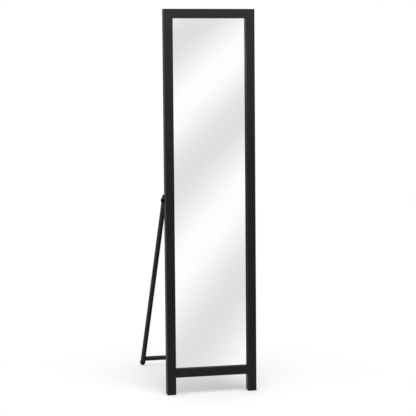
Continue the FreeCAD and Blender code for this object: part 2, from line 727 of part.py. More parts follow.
def make_nuts():
    """Lock nuts against the inner faces of the ears, each with a soft ring in its collar."""
    nut = new_body("lock_nut")
    flats = new_sketch(nut, "Hexagon", "XY_Plane")
    hexagon(flats, "Sizes.nut_flats")
    circle(flats, "0", "0", "Worked.pivot_bore")
    pad(nut, "Prism", flats, "Sizes.nut_height")
    collar = new_sketch(nut, "CollarOutline", "XY_Plane", "Sizes.nut_height")
    circle(collar, "0", "0", "Sizes.nut_collar_diameter / 2")
    circle(collar, "0", "0", "Worked.nut_bore")
    pad(nut, "Collar", collar, "Sizes.nut_collar_height")
    ring = new_body("lock_ring")
    section = new_sketch(ring, "RingOutline", "XY_Plane", "Sizes.nut_height")
    circle(section, "0", "0", "Worked.nut_bore - Sizes.pivot_play")
    circle(section, "0", "0", "Worked.pivot_bore")
    pad(ring, "Ring", section, "Sizes.nut_collar_height - Sizes.pivot_play")
    spots = [(f"{side} * Worked.ear_inner", "Worked.pivot_depth", "Sizes.pivot_height", Y_AXIS, -side * 90)
             for side in SIDE_NAMES]
    place_on_frame(group("pivot_nuts", nut, spots))
    place_on_frame(group("nut_rings", ring, spots))


def make_saddles():
    """Blocks with one flat face and one hollowed to the tube, on both sides of each leg."""
    unit = new_body("saddle_washer")
    block = new_sketch(unit, "BlockOutline", "YZ_Plane", "-Worked.saddle_face")
    rectangle(block, "-Worked.saddle_half", "Worked.saddle_half",
              "-Sizes.saddle_length / 2", "Sizes.saddle_length / 2")
    circle(block, "0", "0", "Worked.pivot_bore")
    pad(unit, "Block", block, "Sizes.saddle_height")
    fillet(unit, "RoundCorners", "Sizes.saddle_corner", straight_edges(unit.Shape, X_AXIS))
    face = -value_of("Worked.saddle_face")
    rim = straight_edges(unit.Shape, Z_AXIS, lambda middle: abs(middle.x - face) < TOUCH)
    fillet(unit, "SoftEdges", "Sizes.saddle_soft_edge", rim)
    hollow = new_sketch(unit, "TubeOutline", "XY_Plane")
    circle(hollow, "0", "0", "Worked.tube_radius + Sizes.saddle_play")
    pocket(unit, "Hollow", hollow, "2 * Sizes.saddle_length", symmetric=True)
    spots = []
    for side in SIDE_NAMES:
        for turn in (0, 180):
            spots.append((f"{side} * Worked.leg_offset", "0", "0", Z_AXIS, turn))
    place_on_stand(group("saddle_washers", unit, spots))


# Stand pieces

def make_leg(side):
    """Steel tube with a cross hole for the pivot bolt."""
    body = new_body(f"leg_{SIDE_NAMES[side]}")
    ring = new_sketch(body, "TubeSection", "XY_Plane", "Worked.leg_top")
    circle(ring, "0", "0", "Worked.tube_radius")
    circle(ring, "0", "0", "Worked.tube_bore")
    pad(body, "Tube", ring, "Worked.leg_top + Worked.leg_reach", reverse=True)
    hole = new_sketch(body, "PivotPlace", "YZ_Plane")
    circle(hole, "0", "0", "Worked.pivot_bore")
    pocket(body, "PivotHole", hole, "2 * Sizes.tube_diameter", symmetric=True)
    place_on_stand(body, f"{side} * Worked.leg_offset")


def make_leg_plug(side):
    """Push-in plug whose rim stops the opened leg against the stile."""
    body = make_lathe_unit(f"leg_plug_{SIDE_NAMES[side]}", [
        ("0", "Worked.leg_top - Sizes.plug_stem"),
        ("Worked.tube_bore - Sizes.plug_play", "Worked.leg_top - Sizes.plug_stem"),
        ("Worked.tube_bore - Sizes.plug_play", "Worked.leg_top"),
        ("Worked.tube_radius", "Worked.leg_top"),
        ("Worked.tube_radius", "Sizes.leg_overrun"),
        ("0", "Sizes.leg_overrun + Sizes.plug_dome"),
    ], domes=[4])
    place_on_stand(body, f"{side} * Worked.leg_offset")


def make_leg_cap(side):
    """Slip-on cap with a round end that stands on the floor."""
    body = make_lathe_unit(f"leg_cap_{SIDE_NAMES[side]}", [
        ("Worked.cap_bore", "Sizes.cap_skirt - Worked.leg_reach"),
        ("Worked.cap_radius", "Sizes.cap_skirt - Worked.leg_reach"),
        ("Worked.cap_radius", "-Worked.leg_reach"),
        ("0", "-Worked.leg_reach - Worked.cap_radius"),
        ("0", "-Worked.leg_reach"),
        ("Worked.cap_bore", "-Worked.leg_reach"),
    ], domes=[2])
    place_on_stand(body, f"{side} * Worked.leg_offset")


def make_crossbar():
    """Tube between the legs, with its ends coped to fit round them."""
    body = new_body("crossbar")
    ring = new_sketch(body, "TubeSection", "YZ_Plane")
    circle(ring, "0", "-Worked.bar_reach", "Worked.bar_radius")
    circle(ring, "0", "-Worked.bar_reach", "Worked.bar_radius - Sizes.tube_wall")
    pad(body, "Tube", ring, "2 * Worked.leg_offset", symmetric=True)
    cope = new_sketch(body, "LegOutlines", "XY_Plane", "-Worked.bar_reach")
    for side in SIDE_NAMES:
        circle(cope, f"{side} * Worked.leg_offset", "0", "Worked.tube_radius")
    pocket(body, "Copes", cope, "2 * Sizes.bar_diameter", symmetric=True)
    place_on_stand(body)


def make_rod(name, radius, length, axis, angle, across, up):
    """Plain round rod about the stand's axes, for building the weld beads."""
    rod = doc.addObject("Part::Cylinder", name)
    rod.setExpression("Radius", radius)
    rod.setExpression("Height", length)
    rod.Placement = FreeCAD.Placement(FreeCAD.Vector(), FreeCAD.Rotation(axis, angle))
    rod.setExpression("Placement.Base.x", across)
    rod.setExpression("Placement.Base.z", up)
    return rod


def make_weld(side):
    """Bead where the crossbar meets a leg: what lies near both tubes and inside neither."""
    name = SIDE_NAMES[side]
    low = "-Worked.bar_reach - Sizes.bar_diameter"
    tall = "2 * Sizes.bar_diameter"
    across = f"{side} * Worked.leg_offset"
    inward = -side * 90
    wide = "Sizes.tube_diameter"
    level = "-Worked.bar_reach"
    leg = make_rod(f"weld_leg_{name}", "Worked.tube_radius", tall, Z_AXIS, 0, across, low)
    leg_zone = make_rod(f"weld_leg_zone_{name}", "Worked.tube_radius + Sizes.weld_size", tall,
                        Z_AXIS, 0, across, low)
    bar = make_rod(f"weld_bar_{name}", "Worked.bar_radius", wide, Y_AXIS, inward, across, level)
    bar_zone = make_rod(f"weld_bar_zone_{name}", "Worked.bar_radius + Sizes.weld_size", wide,
                        Y_AXIS, inward, across, level)
    both = doc.addObject("Part::Common", f"weld_zone_{name}")
    both.Base = leg_zone
    both.Tool = bar_zone
    off_leg = doc.addObject("Part::Cut", f"weld_off_leg_{name}")
    off_leg.Base = both
    off_leg.Tool = leg
    bead = doc.addObject("Part::Cut", f"weld_bead_{name}")
    bead.Base = off_leg
    bead.Tool = bar
    return bead


def make_welds():
    """Weld beads at both ends of the crossbar."""
    beads = [make_weld(side) for side in SIDE_NAMES]
    node = doc.addObject("Part::Compound", "crossbar_welds")
    node.Label = "crossbar_welds"
    node.Links = beads
    doc.recompute()
    place_on_stand(node)


def write_nodes():
    """Check every object and every piece, then write one file for each piece."""
    doc.recompute()
    for item in doc.Objects:
        if "Invalid" in item.State or "Error" in item.State:
            raise RuntimeError(f"{item.Label} did not build: {item.State}")
    for node in nodes:
        if node.Shape.isNull() or not node.Shape.isValid() or not node.Shape.Solids:
            raise RuntimeError(f"{node.Label} has no sound solid")
    os.makedirs("parts", exist_ok=True)
    for node in nodes:
        node.Shape.exportStep(f"parts/{node.Label}.step")


fill_sheets()
make_stile(LEFT)
make_stile(RIGHT)
make_rails()
make_dowels()
make_sheet("mirror_glass", "Sizes.lip_depth", "Sizes.mirror_thickness")
make_sheet("back_panel", "Worked.panel_front", "Sizes.panel_thickness")
make_foot_pad(LEFT)
make_foot_pad(RIGHT)
wood_screw = make_screw_unit()
make_clips(wood_screw)
make_bracket(LEFT)
make_bracket(RIGHT)
make_bracket_screws(wood_screw)
make_bolts()
make_nuts()
make_saddles()
for leg_side in SIDE_NAMES:
    make_leg(leg_side)
    make_leg_plug(leg_side)
    make_leg_cap(leg_side)
make_crossbar()
make_welds()
write_nodes()
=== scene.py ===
"""Looks of a freestanding full length mirror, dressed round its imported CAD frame.

Laid out as an add-on and run as a script. Lengths are in metres.
"""

import math

import bpy
from bpy.props import FloatProperty, FloatVectorProperty, IntProperty, PointerProperty
from mathutils import Matrix, Vector


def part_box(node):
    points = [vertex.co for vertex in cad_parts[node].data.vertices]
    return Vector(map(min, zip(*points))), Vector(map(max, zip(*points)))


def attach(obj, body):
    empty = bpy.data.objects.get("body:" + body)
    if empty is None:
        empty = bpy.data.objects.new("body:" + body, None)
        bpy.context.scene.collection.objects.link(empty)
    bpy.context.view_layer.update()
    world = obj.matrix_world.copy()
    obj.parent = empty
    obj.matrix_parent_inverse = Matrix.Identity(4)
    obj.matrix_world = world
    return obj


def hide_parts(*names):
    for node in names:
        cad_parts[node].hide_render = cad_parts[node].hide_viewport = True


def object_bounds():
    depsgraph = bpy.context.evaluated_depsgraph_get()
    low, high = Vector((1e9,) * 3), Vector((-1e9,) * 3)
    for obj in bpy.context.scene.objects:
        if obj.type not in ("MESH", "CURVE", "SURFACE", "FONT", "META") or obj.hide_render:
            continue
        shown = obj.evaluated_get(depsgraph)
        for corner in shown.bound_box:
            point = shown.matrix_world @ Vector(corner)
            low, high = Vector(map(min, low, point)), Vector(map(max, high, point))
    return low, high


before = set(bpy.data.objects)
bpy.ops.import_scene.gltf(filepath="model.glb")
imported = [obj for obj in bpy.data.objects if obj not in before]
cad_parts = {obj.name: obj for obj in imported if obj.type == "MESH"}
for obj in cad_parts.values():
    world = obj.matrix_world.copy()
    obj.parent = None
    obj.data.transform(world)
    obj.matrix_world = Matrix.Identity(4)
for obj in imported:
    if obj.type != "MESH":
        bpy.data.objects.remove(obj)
CAD_BOX = [list(corner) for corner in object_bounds()]

bl_info = {
    "name": "Standing mirror",
    "version": (1, 0, 0),
    "blender": (4, 5, 0),
    "location": "View3D > Sidebar > Mirror",
    "description": "Dresses a freestanding full length mirror and sets its studio",
    "category": "Object",
}

MM = 0.001
WHITE = (1.0, 1.0, 1.0, 1.0)

# Numbers of two axes
ACROSS = 0
UP = 2

# Pieces that share a finish
STILES = ("stile_left", "stile_right")
RAILS = ("top_rail", "bottom_rail")
ZINC_PIECES = ("panel_clips", "clip_screws", "bracket_screws", "pivot_nuts")
LEGS = ("leg_left", "leg_right")
BRACKETS = ("hinge_bracket_left", "hinge_bracket_right")
PLUGS = ("leg_plug_left", "leg_plug_right")
RUBBER_PIECES = ("leg_cap_left", "leg_cap_right", "foot_pad_left", "foot_pad_right")


# Settings

def colour_setting(name, description, default):
    """Colour that a user may change."""
    return FloatVectorProperty(name=name, description=description, subtype="COLOR", size=3,
                               min=0, max=1, default=default)


def share_setting(name, description, default):
    """Number from nothing to all."""
    return FloatProperty(name=name, description=description, subtype="FACTOR", min=0, max=1,
                         default=default)


def length_setting(name, description, default):
    """Length in metres."""
    return FloatProperty(name=name, description=description, subtype="DISTANCE", unit="LENGTH",
                         min=0, default=default, precision=4)


def place_setting(name, description, default):
    """Place in metres."""
    return FloatVectorProperty(name=name, description=description, subtype="TRANSLATION",
                               unit="LENGTH", size=3, default=default)


def light_setting(name, description, default):
    """Brightness with no upper limit."""
    return FloatProperty(name=name, description=description, min=0, default=default)


def power_setting(name, description, default):
    """Power in watts."""
    return FloatProperty(name=name, description=description, unit="POWER", min=0, default=default)


def camera_setting(name, description, default):
    """Length inside the camera, in millimetres."""
    return FloatProperty(name=name, description=description, unit="CAMERA", min=1, default=default)


def angle_setting(name, description, degrees):
    """Angle, given here in degrees."""
    return FloatProperty(name=name, description=description, subtype="ANGLE", unit="ROTATION",
                         default=math.radians(degrees))


class BarSettings(bpy.types.PropertyGroup):
    """Painted wooden bars of the frame."""

    paint: colour_setting("Paint", "Colour of the satin paint", (0.0070, 0.0074, 0.0082))
    worn_paint: colour_setting("Worn paint", "Colour of rubbed paint along the edges",
                               (0.030, 0.031, 0.033))
    roughness: share_setting("Roughness", "How dull the paint is", 0.21)
    wear: share_setting("Wear", "How much paint is rubbed along the edges", 0.3)
    grain_pitch: length_setting("Grain pitch", "Distance between grain lines under the paint", 1.4 * MM)
    edge_width: length_setting("Edge width", "How far rubbed paint reaches in from an edge", 2.2 * MM)
    lean: angle_setting("Lean", "How far the frame leans back", 3)


class GlassSettings(bpy.types.PropertyGroup):
    """Silvered mirror glass."""

    silver: colour_setting("Silver", "Tint of the silvered glass", (0.980, 0.981, 0.980))
    haze: share_setting("Haze", "Roughness of the wiped film on the glass", 0.0022)


class PanelSettings(bpy.types.PropertyGroup):
    """Hardboard panel and dowels."""

    light_fibre: colour_setting("Light fibre", "Palest fibres of the hardboard", (0.36, 0.235, 0.14))
    dark_fibre: colour_setting("Dark fibre", "Darkest fibres of the hardboard", (0.15, 0.088, 0.047))
    screen_pitch: length_setting("Screen pitch", "Pitch of the screen pressed into the back", 1.6 * MM)
    beech: colour_setting("Beech", "Pale wood of the dowels", (0.62, 0.45, 0.28))
    beech_fleck: colour_setting("Beech fleck", "Flecks in the dowels", (0.40, 0.25, 0.14))


class StandSettings(bpy.types.PropertyGroup):
    """Powder coated steel stand."""

    coat: colour_setting("Coat", "Colour of the powder coat", (0.0130, 0.0132, 0.0136))
    scuffed_coat: colour_setting("Scuffed coat", "Colour of scuffed powder coat", (0.030, 0.030, 0.031))
    roughness: share_setting("Roughness", "How dull the powder coat is", 0.36)
    # Painted shade: black painted on the legs round the pivots, where the bolt heads and saddle washers
    # shade the tubes; its colour, middle and reach
    smear_and_shade: colour_setting("Smear", "Black that the saddle washers leave on the legs",
                          (0.0022, 0.0022, 0.0024))
    shade_middle: length_setting("Smear middle", "How far the smear lies above the pivot", 5.5 * MM)
    shade_reach: length_setting("Smear reach", "How far the smear reaches from its middle", 9.5 * MM)
    # Painted highlight: paler colour on the upper side of the crossbar, where light falls on it; its
    # colour and share
    dust_and_highlight: colour_setting("Dust", "Dust on the upper side of the crossbar", (0.104, 0.107, 0.112))
    painted_highlight_share: share_setting("Dust share", "How much dust lies on the crossbar", 0.36)
    leg_tilt: angle_setting("Leg tilt", "Lean of the legs from upright", 29.8)
    ripples: IntProperty(name="Ripples", description="Ripples round each weld bead", default=46, min=8)
    bead_width: length_setting("Bead width", "Width of a weld ripple", 4.4 * MM)


class FittingSettings(bpy.types.PropertyGroup):
    """Small fittings."""

    zinc: colour_setting("Zinc", "Bright zinc plating", (0.66, 0.67, 0.68))
    dull_zinc: colour_setting("Dull zinc", "Dull patches of the plating", (0.44, 0.45, 0.465))
    black_steel: colour_setting("Black steel", "Blackened bolts", (0.0022, 0.0022, 0.0024))
    plastic: colour_setting("Plastic", "Moulded washers", (0.0030, 0.0030, 0.0032))
    plug: colour_setting("Plug", "Moulded plugs in the tubes", (0.0220, 0.0220, 0.0224))
    rubber: colour_setting("Rubber", "Moulded rubber", (0.0120, 0.0120, 0.0120))
    dust_and_highlight: colour_setting("Dust", "Floor dust on the rubber", (0.11, 0.105, 0.098))
    nylon: colour_setting("Nylon", "Rings in the lock nuts", (0.72, 0.71, 0.67))


class StageSettings(bpy.types.PropertyGroup):
    """Studio, lamps and camera."""

    floor: colour_setting("Floor", "Pale studio floor", (0.90, 0.90, 0.90))
    floor_lift: share_setting("Floor lift", "White added to the floor that the camera sees", 0.15)
    floor_near: length_setting("Floor near", "Distance from the feet where the floor starts to fade",
                               0.05)
    floor_far: length_setting("Floor far", "Distance from the feet where the floor is white", 1.05)
    pale_band: colour_setting("Pale band", "Pale bands of the surround in reflections", (1.0, 1.0, 1.0))
    grey_band: colour_setting("Grey band", "Grey bands of the surround in reflections",
                              (0.739, 0.752, 0.760))
    even_tint: colour_setting("Even tint", "Tint of the light from all round", (0.975, 0.99, 1.0))
    ambient: light_setting("Ambient", "Light from all round", 0.62)
    key_watts: power_setting("Key lamp", "Power of the wide lamp overhead", 72)
    key_size: length_setting("Key size", "Width of the lamp overhead", 2.4)
    key_place: place_setting("Key place", "Where the lamp overhead hangs", (0.0, -1.7, 4.1))
    fill_watts: power_setting("Fill lamp", "Power of the lamp at the left", 20)
    fill_size: length_setting("Fill size", "Width of the lamp at the left", 2.0)
    fill_place: place_setting("Fill place", "Where the lamp at the left hangs", (-3.4, -0.4, 1.6))
    lamp_aim: place_setting("Lamp aim", "Place that the lamps face", (0.0, 0.0, 0.8))
    glow: light_setting("Glow", "Brightness of the ceiling lamp in satin gloss", 1.34)
    front_level: share_setting("Front level", "Brightness of the studio in front, in satin gloss", 0.028)
    side_level: light_setting("Side level", "Brightness of the lamp at the left in satin gloss", 0.9)
    low_level: share_setting("Low level", "Brightness of the floor in front, in satin gloss", 0.42)
    studio: colour_setting("Studio", "Tint of the studio in satin gloss", (0.87, 0.94, 1.0))
    back_level: share_setting("Back level", "Brightness of the studio behind, in satin gloss", 0.21)
    camera_place: place_setting("Camera place", "Where the camera stands", (-1.54088, -6.47692, 1.66345))
    camera_yaw: angle_setting("Camera yaw", "How far the camera turns to the right", 13.77)
    camera_pitch: angle_setting("Camera pitch", "How far the camera looks down", 7.85)
    camera_roll: angle_setting("Camera roll", "How far the camera tips to one side", 0.25)
    lens: camera_setting("Lens", "Focal length", 135.17)
    sensor: camera_setting("Sensor", "Width of the sensor", 36)


class StandingMirrorSettings(bpy.types.PropertyGroup):
    """All settings of the mirror."""

    bars: PointerProperty(type=BarSettings)
    glass: PointerProperty(type=GlassSettings)
    panel: PointerProperty(type=PanelSettings)
    stand: PointerProperty(type=StandSettings)
    fittings: PointerProperty(type=FittingSettings)
    stage: PointerProperty(type=StageSettings)


# Shader maths and nodes

class Value:
    """Output of a node, for use in sums."""

    def __init__(self, bench, socket):
        self.bench = bench
        self.socket = socket

    def math(self, operation, *numbers):
        """Outcome of one sum."""
        return self.bench.node("ShaderNodeMath", {"operation": operation}, dict(enumerate(numbers)))

    def __add__(self, other):
        return self.math("ADD", self, other)

    def __sub__(self, other):
        return self.math("SUBTRACT", self, other)

    def __rsub__(self, other):
        return self.math("SUBTRACT", other, self)

    def __mul__(self, other):
        return self.math("MULTIPLY", self, other)

    def __abs__(self):
        return self.math("ABSOLUTE", self)

    __radd__ = __add__
    __rmul__ = __mul__

    def below(self, limit):
        """One where the value is below a limit, nothing elsewhere."""
        return self.math("LESS_THAN", self, limit)

    def larger(self, other):
        """The larger of two values."""
        return self.math("MAXIMUM", self, other)

    def sine(self):
        """Sine of an angle in radians."""
        return self.math("SINE", self)

    def rise(self, low, high):
        """Nothing at low, one at high, smooth between."""
        return self.bench.node("ShaderNodeMapRange", {"interpolation_type": "SMOOTHSTEP"},
                               {"Value": self, "From Min": low, "From Max": high})


class Bench:
    """Adds nodes to one node tree."""

    def __init__(self, owner):
        owner.use_nodes = True
        self.owner = owner
        self.tree = owner.node_tree
        self.tree.nodes.clear()

    def node(self, kind, settings=None, sockets=None, out=0):
        """Add a node, set it up, fill its sockets and give one of its outputs."""
        node = self.tree.nodes.new(kind)
        for key, value in (settings or {}).items():
            setattr(node, key, value)
        for key, value in (sockets or {}).items():
            if isinstance(value, Value):
                self.tree.links.new(value.socket, node.inputs[key])
            else:
                node.inputs[key].default_value = value
        return Value(self, node.outputs[out]) if node.outputs else None

    def place(self):
        """Place on the object."""
        return self.node("ShaderNodeTexCoord", out="Object")

    def place_on_frame(self, lean, front):
        """Place in the frame's own axes, with the front face at zero depth."""
        shift = (0, -front * math.cos(lean), -front * math.sin(lean))
        return self.node("ShaderNodeMapping", {}, {"Vector": self.place(), "Location": shift,
                                                   "Rotation": (lean, 0, 0)})

    def turned(self, vector, turn):
        """Vector turned by three angles."""
        return self.node("ShaderNodeMapping", {}, {"Vector": vector, "Rotation": turn})

    def stretched(self, vector, factors):
        """Vector times a number for each axis."""
        return self.node("ShaderNodeVectorMath", {"operation": "MULTIPLY"}, {0: vector, 1: factors})

    def split(self, vector):
        """The three coordinates of a vector."""
        first = self.node("ShaderNodeSeparateXYZ", {}, {0: vector})
        return [Value(self, socket) for socket in first.socket.node.outputs]

    def noise(self, vector, scale=1.0, detail=2.0, roughness=0.5, distortion=0.0):
        """Soft noise about one half."""
        return self.node("ShaderNodeTexNoise", {}, {"Vector": vector, "Scale": scale, "Detail": detail,
                                                    "Roughness": roughness, "Distortion": distortion})

    def cells(self, vector, scale):
        """A number for each cell of a random tiling."""
        tint = self.node("ShaderNodeTexVoronoi", {}, {"Vector": vector, "Scale": scale}, out="Color")
        return self.node("ShaderNodeSeparateColor", {}, {0: tint})

    def mix(self, share, first, second):
        """Colour between two colours."""
        return self.node("ShaderNodeMix", {"data_type": "RGBA"}, {0: share, 6: first, 7: second}, out=2)

    def mix_shaders(self, share, first, second):
        """Shader between two shaders."""
        return self.node("ShaderNodeMixShader", {}, {0: share, 1: first, 2: second})

    def bump(self, height, depth, strength=1.0):
        """Surface normal from a height between nothing and one."""
        sockets = {"Height": height, "Distance": depth, "Strength": strength}
        return self.node("ShaderNodeBump", {}, sockets)

    def surface(self, **sockets):
        """Finish the material with one surface, its sockets named with underscores."""
        named = {key.replace("_", " "): value for key, value in sockets.items()}
        if "Specular" in named:
            named["Specular IOR Level"] = named.pop("Specular")
        shader = self.node("ShaderNodeBsdfPrincipled", {}, named)
        self.node("ShaderNodeOutputMaterial", {}, {"Surface": shader})
        return self.owner


def new_bench(name):
    """Bench for a new material."""
    return Bench(bpy.data.materials.new(name))


def opaque(colour):
    """Colour with full cover."""
    return (*colour, 1.0)


def scaled(colour, factor):
    """Colour times a number, with full cover."""
    return opaque([min(1.0, factor * value) for value in colour])


def dress(material, *nodes):
    """Give a material to CAD nodes."""
    for node in nodes:
        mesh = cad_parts[node].data
        mesh.materials.clear()
        mesh.materials.append(material)


def frame_front(lean):
    """Depth of the floor line under the frame's front face."""
    low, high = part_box("foot_pad_left")
    return -(CAD_BOX[1][1] + (high.z - low.z) * math.tan(lean))


# Finishes

# How much coarser the grain of the bars is along them, and how much finer the pores are than the grain
GRAIN_STRETCH = 0.012
PORE_FINENESS = 2.3

# Turns of wiping strokes and fibres, and how fine each streaky noise is along the three axes
WIPING_TURN = math.radians(24)
WIPING_STRETCH = (3.0, 3.0, 17.0)
FIBRE_TURNS = [math.radians(turn) for turn in (15, 75, 135)]
FIBRE_STRETCH = (70.0, 70.0, 900.0)
BEECH_STRETCH = (40.0, 1100.0, 1100.0)
FLECK_STRETCH = (180.0, 1700.0, 1700.0)
SCRATCH_STRETCH = (260.0, 2600.0, 5200.0)
SCUFF_STRETCH = (60.0, 60.0, 240.0)

# Heights over the floor between which scuffs and dust fade away
SCUFF_HEIGHTS = (0.03, 0.16)
DUST_HEIGHTS = (0.3 * MM, 5 * MM)


def near_face(coordinate, centre, half, reach):
    """One on a face that lies half away from a centre, falling to nothing within reach."""
    depth = half - abs(coordinate - centre)
    return 1 - depth.rise(0.2 * reach, reach)


def painted_bar(name, bars, along, middle, half):
    """Satin paint over wood, with grain along one axis and rubbed edges.

    middle and half give the bar's centre and half size in the frame's axes. Where half is None, the
    bar has no edge across that axis.
    """
    bench = new_bench(name)
    place = bench.place_on_frame(bars.lean, frame_front(bars.lean))
    lines = [1 / bars.grain_pitch] * 3
    lines[along] *= GRAIN_STRETCH
    fine_lines = [PORE_FINENESS * value for value in lines]
    grain = bench.noise(bench.stretched(place, lines), detail=3.0, roughness=0.62, distortion=0.35)
    pores = bench.noise(bench.stretched(place, fine_lines), detail=1.0).rise(0.60, 0.72)
    mottle = bench.noise(place, scale=7.0, detail=4.0, roughness=0.55)
    peel = bench.noise(place, scale=620.0, detail=1.0)
    across, depth, up = bench.split(place)
    sides = [abs(across), depth, up]
    faces = [near_face(side, centre, size, bars.edge_width)
             for side, centre, size in zip(sides, middle, half) if size is not None]
    edges = faces[0] * faces[1]
    if len(faces) > 2:
        edges = edges.larger(faces[1] * faces[2]).larger(faces[0] * faces[2])
    patches = bench.noise(place, scale=46.0, detail=5.0, roughness=0.62).rise(0.46, 0.68)
    rubbed = edges * patches * bars.wear
    ridges = grain.rise(0.38, 0.64)
    tone = bench.mix(mottle * 0.45 + ridges * 0.55, opaque(bars.paint), scaled(bars.paint, 1.75))
    height = grain * 0.55 - pores * 0.35 + peel * 0.3
    return bench.surface(
        Base_Color=bench.mix(rubbed, tone, opaque(bars.worn_paint)),
        Roughness=bars.roughness - 0.09 + mottle * 0.14 + ridges * 0.05 + pores * 0.06 - rubbed * 0.12,
        Normal=bench.bump(height, 0.08 * MM, 0.45))


def silvered_glass(glass):
    """Bright mirror with a faint wiped film."""
    bench = new_bench("silvered_glass")
    place = bench.place()
    strokes = bench.stretched(bench.turned(place, (0, WIPING_TURN, 0)), WIPING_STRETCH)
    smear_and_shade = bench.noise(strokes, detail=4.0, roughness=0.6, distortion=0.8).rise(0.40, 0.75)
    specks = bench.noise(place, scale=900.0, detail=0.0).rise(0.76, 0.82)
    film = scaled(glass.silver, 0.985)
    return bench.surface(
        Base_Color=bench.mix(smear_and_shade * 0.6 + specks * 0.4, opaque(glass.silver), film),
        Roughness=0.0004 + smear_and_shade * glass.haze + specks * 0.0006,
        Metallic=1.0)


def hardboard(panel):
    """Pressed fibre board with the mark of a screen on it."""
    bench = new_bench("hardboard")
    place = bench.place()
    fibres = None
    for turn in FIBRE_TURNS:
        lie = bench.stretched(bench.turned(place, (0, turn, 0)), FIBRE_STRETCH)
        strand = bench.noise(lie, detail=2.0, roughness=0.6, distortion=0.4).rise(0.52, 0.72)
        fibres = strand if fibres is None else fibres.larger(strand)
    clouds = bench.noise(place, scale=16.0, detail=5.0, roughness=0.6)
    across, _, up = bench.split(place)
    wave = 2 * math.pi / panel.screen_pitch
    screen = (across * wave).sine() * (up * wave).sine()
    chips = bench.cells(place, scale=420.0).rise(0.86, 0.95)
    tone = bench.mix(clouds * 0.55 + fibres * 0.45, opaque(panel.dark_fibre), opaque(panel.light_fibre))
    return bench.surface(
        Base_Color=bench.mix(chips * 0.35, tone, opaque(panel.dark_fibre)),
        Roughness=0.74 + clouds * 0.12 - fibres * 0.06,
        Specular=0.3,
        Normal=bench.bump(screen * 0.4 + fibres * 0.4, 0.12 * MM, 0.5))


def beech(panel):
    """Pale dowel wood with short flecks along its length."""
    bench = new_bench("beech")
    place = bench.place()
    grain = bench.noise(bench.stretched(place, BEECH_STRETCH), detail=3.0)
    flecks = bench.noise(bench.stretched(place, FLECK_STRETCH), detail=0.0).rise(0.62, 0.70)
    share = grain * 0.5 + flecks * 0.5
    return bench.surface(
        Base_Color=bench.mix(share, opaque(panel.beech), opaque(panel.beech_fleck)),
        Roughness=0.6 + grain * 0.15,
        Normal=bench.bump(grain, 0.04 * MM, 0.4))


def zinc_plate(fittings):
    """Bright zinc with crystal patches and fine scratches."""
    bench = new_bench("zinc_plate")
    place = bench.place()
    patch = bench.cells(place, scale=420.0)
    cloud = bench.noise(place, scale=90.0, detail=3.0)
    lines = bench.noise(bench.stretched(place, SCRATCH_STRETCH), detail=1.0)
    share = patch * 0.35 + cloud * 0.65
    return bench.surface(
        Base_Color=bench.mix(share.rise(0.25, 0.75), opaque(fittings.zinc), opaque(fittings.dull_zinc)),
        Roughness=0.24 + cloud * 0.16 + patch * 0.06,
        Metallic=1.0,
        Normal=bench.bump(lines, 0.01 * MM, 0.3))


def pivot_painted_shade(stand, depth, up):
    """One on the part of a leg round the pivot that gets painted shade, nothing elsewhere."""
    low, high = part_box("pivot_bolts")
    pivot = (low + high) / 2
    rise, run = math.cos(stand.leg_tilt), math.sin(stand.leg_tilt)
    along = up * rise - depth * run - (pivot.z * rise - pivot.y * run)
    return 1 - abs(along - stand.shade_middle).rise(stand.shade_reach, 1.15 * stand.shade_reach)


def crossbar_painted_highlight(stand, up):
    """Share of painted highlight, a paler colour which lies on the upper side of the crossbar only."""
    low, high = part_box("crossbar")
    radius = (high.z - low.z) / 2
    return (up - (low.z + radius)).rise(0.15 * radius, 0.6 * radius) * stand.painted_highlight_share


def powder_coat(name, stand, pivot_shaded=False, with_highlight=False):
    """Black powder coat with orange peel, scuffed near the floor.

    If asked it gets painted shade on the legs round the pivots, or a painted highlight on the upper side
    of the crossbar.
    """
    bench = new_bench(name)
    place = bench.place()
    peel = bench.noise(place, scale=520.0, detail=1.0, roughness=0.4)
    pinhead = bench.noise(place, scale=2600.0, detail=0.0)
    cloud = bench.noise(place, scale=12.0, detail=3.0)
    _, depth, up = bench.split(place)
    low = 1 - up.rise(*SCUFF_HEIGHTS)
    scuffs = bench.noise(bench.stretched(place, SCUFF_STRETCH), detail=4.0, roughness=0.65)
    scuffed = low * scuffs.rise(0.60, 0.74) * 0.5
    tone = bench.mix(cloud * 0.7 + pinhead * 0.3, opaque(stand.coat), scaled(stand.coat, 1.3))
    dullness = stand.roughness - 0.05 + cloud * 0.1 + scuffed * 0.2
    # Painted shade: black on the legs round the pivots, where the fittings shade the tubes
    if pivot_shaded:
        smear_and_shade = pivot_painted_shade(stand, depth, up)
        tone = bench.mix(smear_and_shade, tone, opaque(stand.smear_and_shade))
        dullness = dullness + smear_and_shade * 0.4
    # Painted highlight: paler colour on the crossbar's upper side, where light falls on it
    if with_highlight:
        dust_and_highlight = crossbar_painted_highlight(stand, up) * (cloud + 0.5)
        tone = bench.mix(dust_and_highlight, tone, opaque(stand.dust_and_highlight))
        dullness = dullness + dust_and_highlight * 0.5
    return bench.surface(
        Base_Color=bench.mix(scuffed, tone, opaque(stand.scuffed_coat)),
        Roughness=dullness,
        Normal=bench.bump(peel * 0.7 + pinhead * 0.3, 0.06 * MM, 0.4))


def moulded(name, colour, roughness, pitch, depth, specular=0.35, lift=1.4):
    """Moulded or blackened piece with a fine even texture."""
    bench = new_bench(name)
    place = bench.place()
    texture = bench.noise(place, scale=1 / pitch, detail=2.0, roughness=0.6)
    cloud = bench.noise(place, scale=60.0, detail=3.0)
    return bench.surface(
        Base_Color=bench.mix(cloud * 0.6 + texture * 0.4, opaque(colour), scaled(colour, lift)),
        Roughness=roughness - 0.06 + cloud * 0.08 + texture * 0.06,
        Specular=specular,
        Normal=bench.bump(texture, depth, 0.4))


